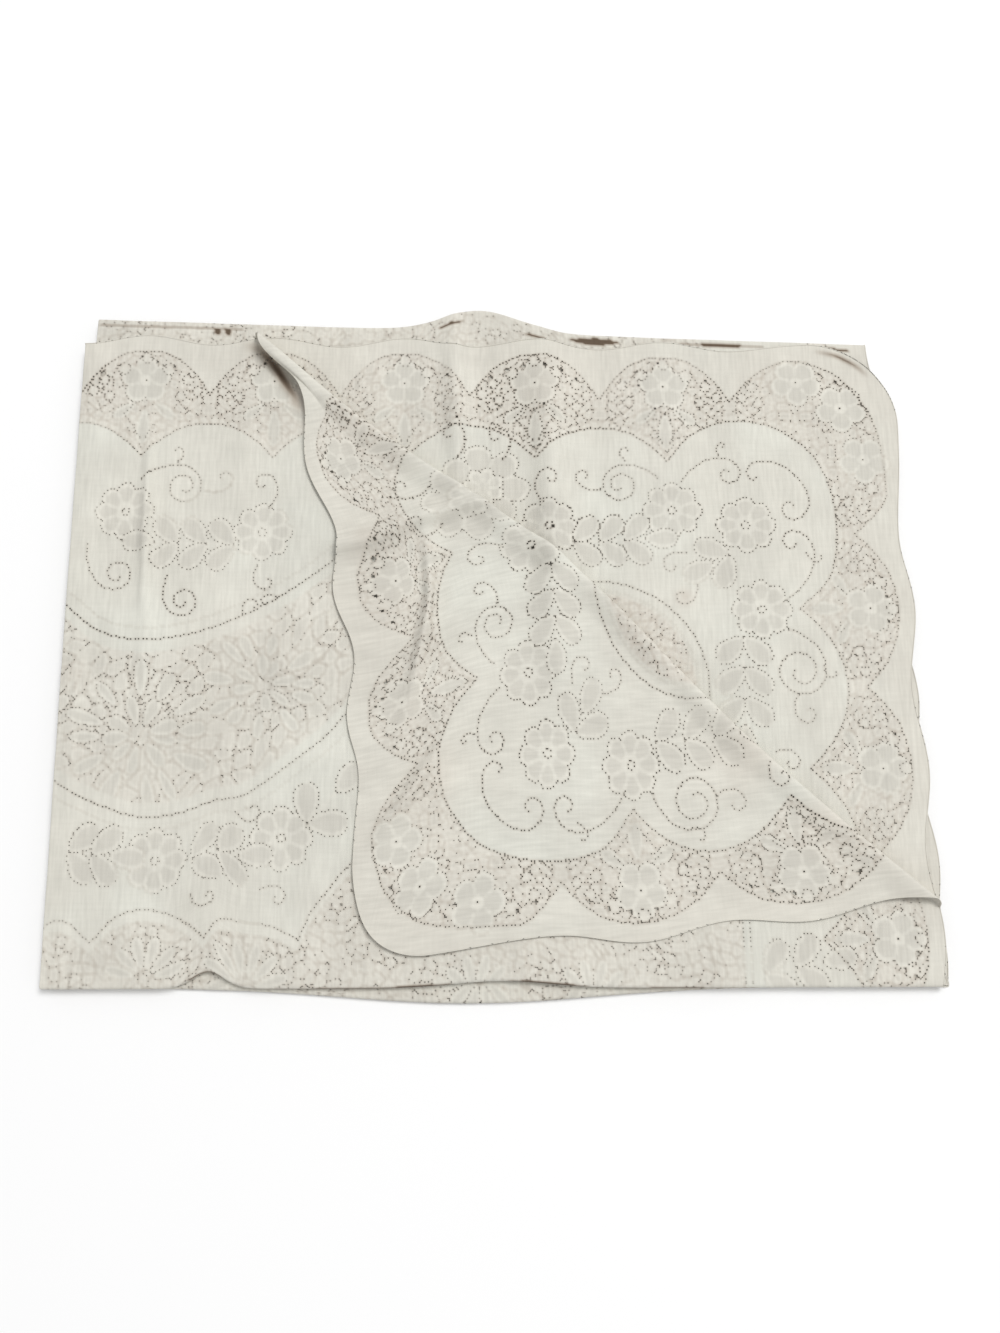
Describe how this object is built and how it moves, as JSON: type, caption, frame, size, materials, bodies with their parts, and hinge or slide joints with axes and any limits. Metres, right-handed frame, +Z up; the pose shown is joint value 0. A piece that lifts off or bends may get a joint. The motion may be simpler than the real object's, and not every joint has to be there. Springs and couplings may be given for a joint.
{
  "type": "folded lace tablecloth",
  "caption": "Lace tablecloth with a scalloped hem, doubled across its width and folded along its length, lying flat with the corner of its uppermost layer turned back.",
  "frame": {"origin": "middle of the folded cloth's box, on the surface that it lies on", "axes": "+X along the wider side, from the fold at the left to the open hems at the right; +Y away from the viewer, towards the far hem; +Z up through the layers"},
  "size_m": [0.7884, 0.6512, 0.0281],
  "materials": {
    "lace": "matt ivory cotton lace, with a close field, sheer motifs and dotted outlines"
  },
  "bodies": {
    "root": {"tablecloth": "lace"}
  },
  "joints": []
}
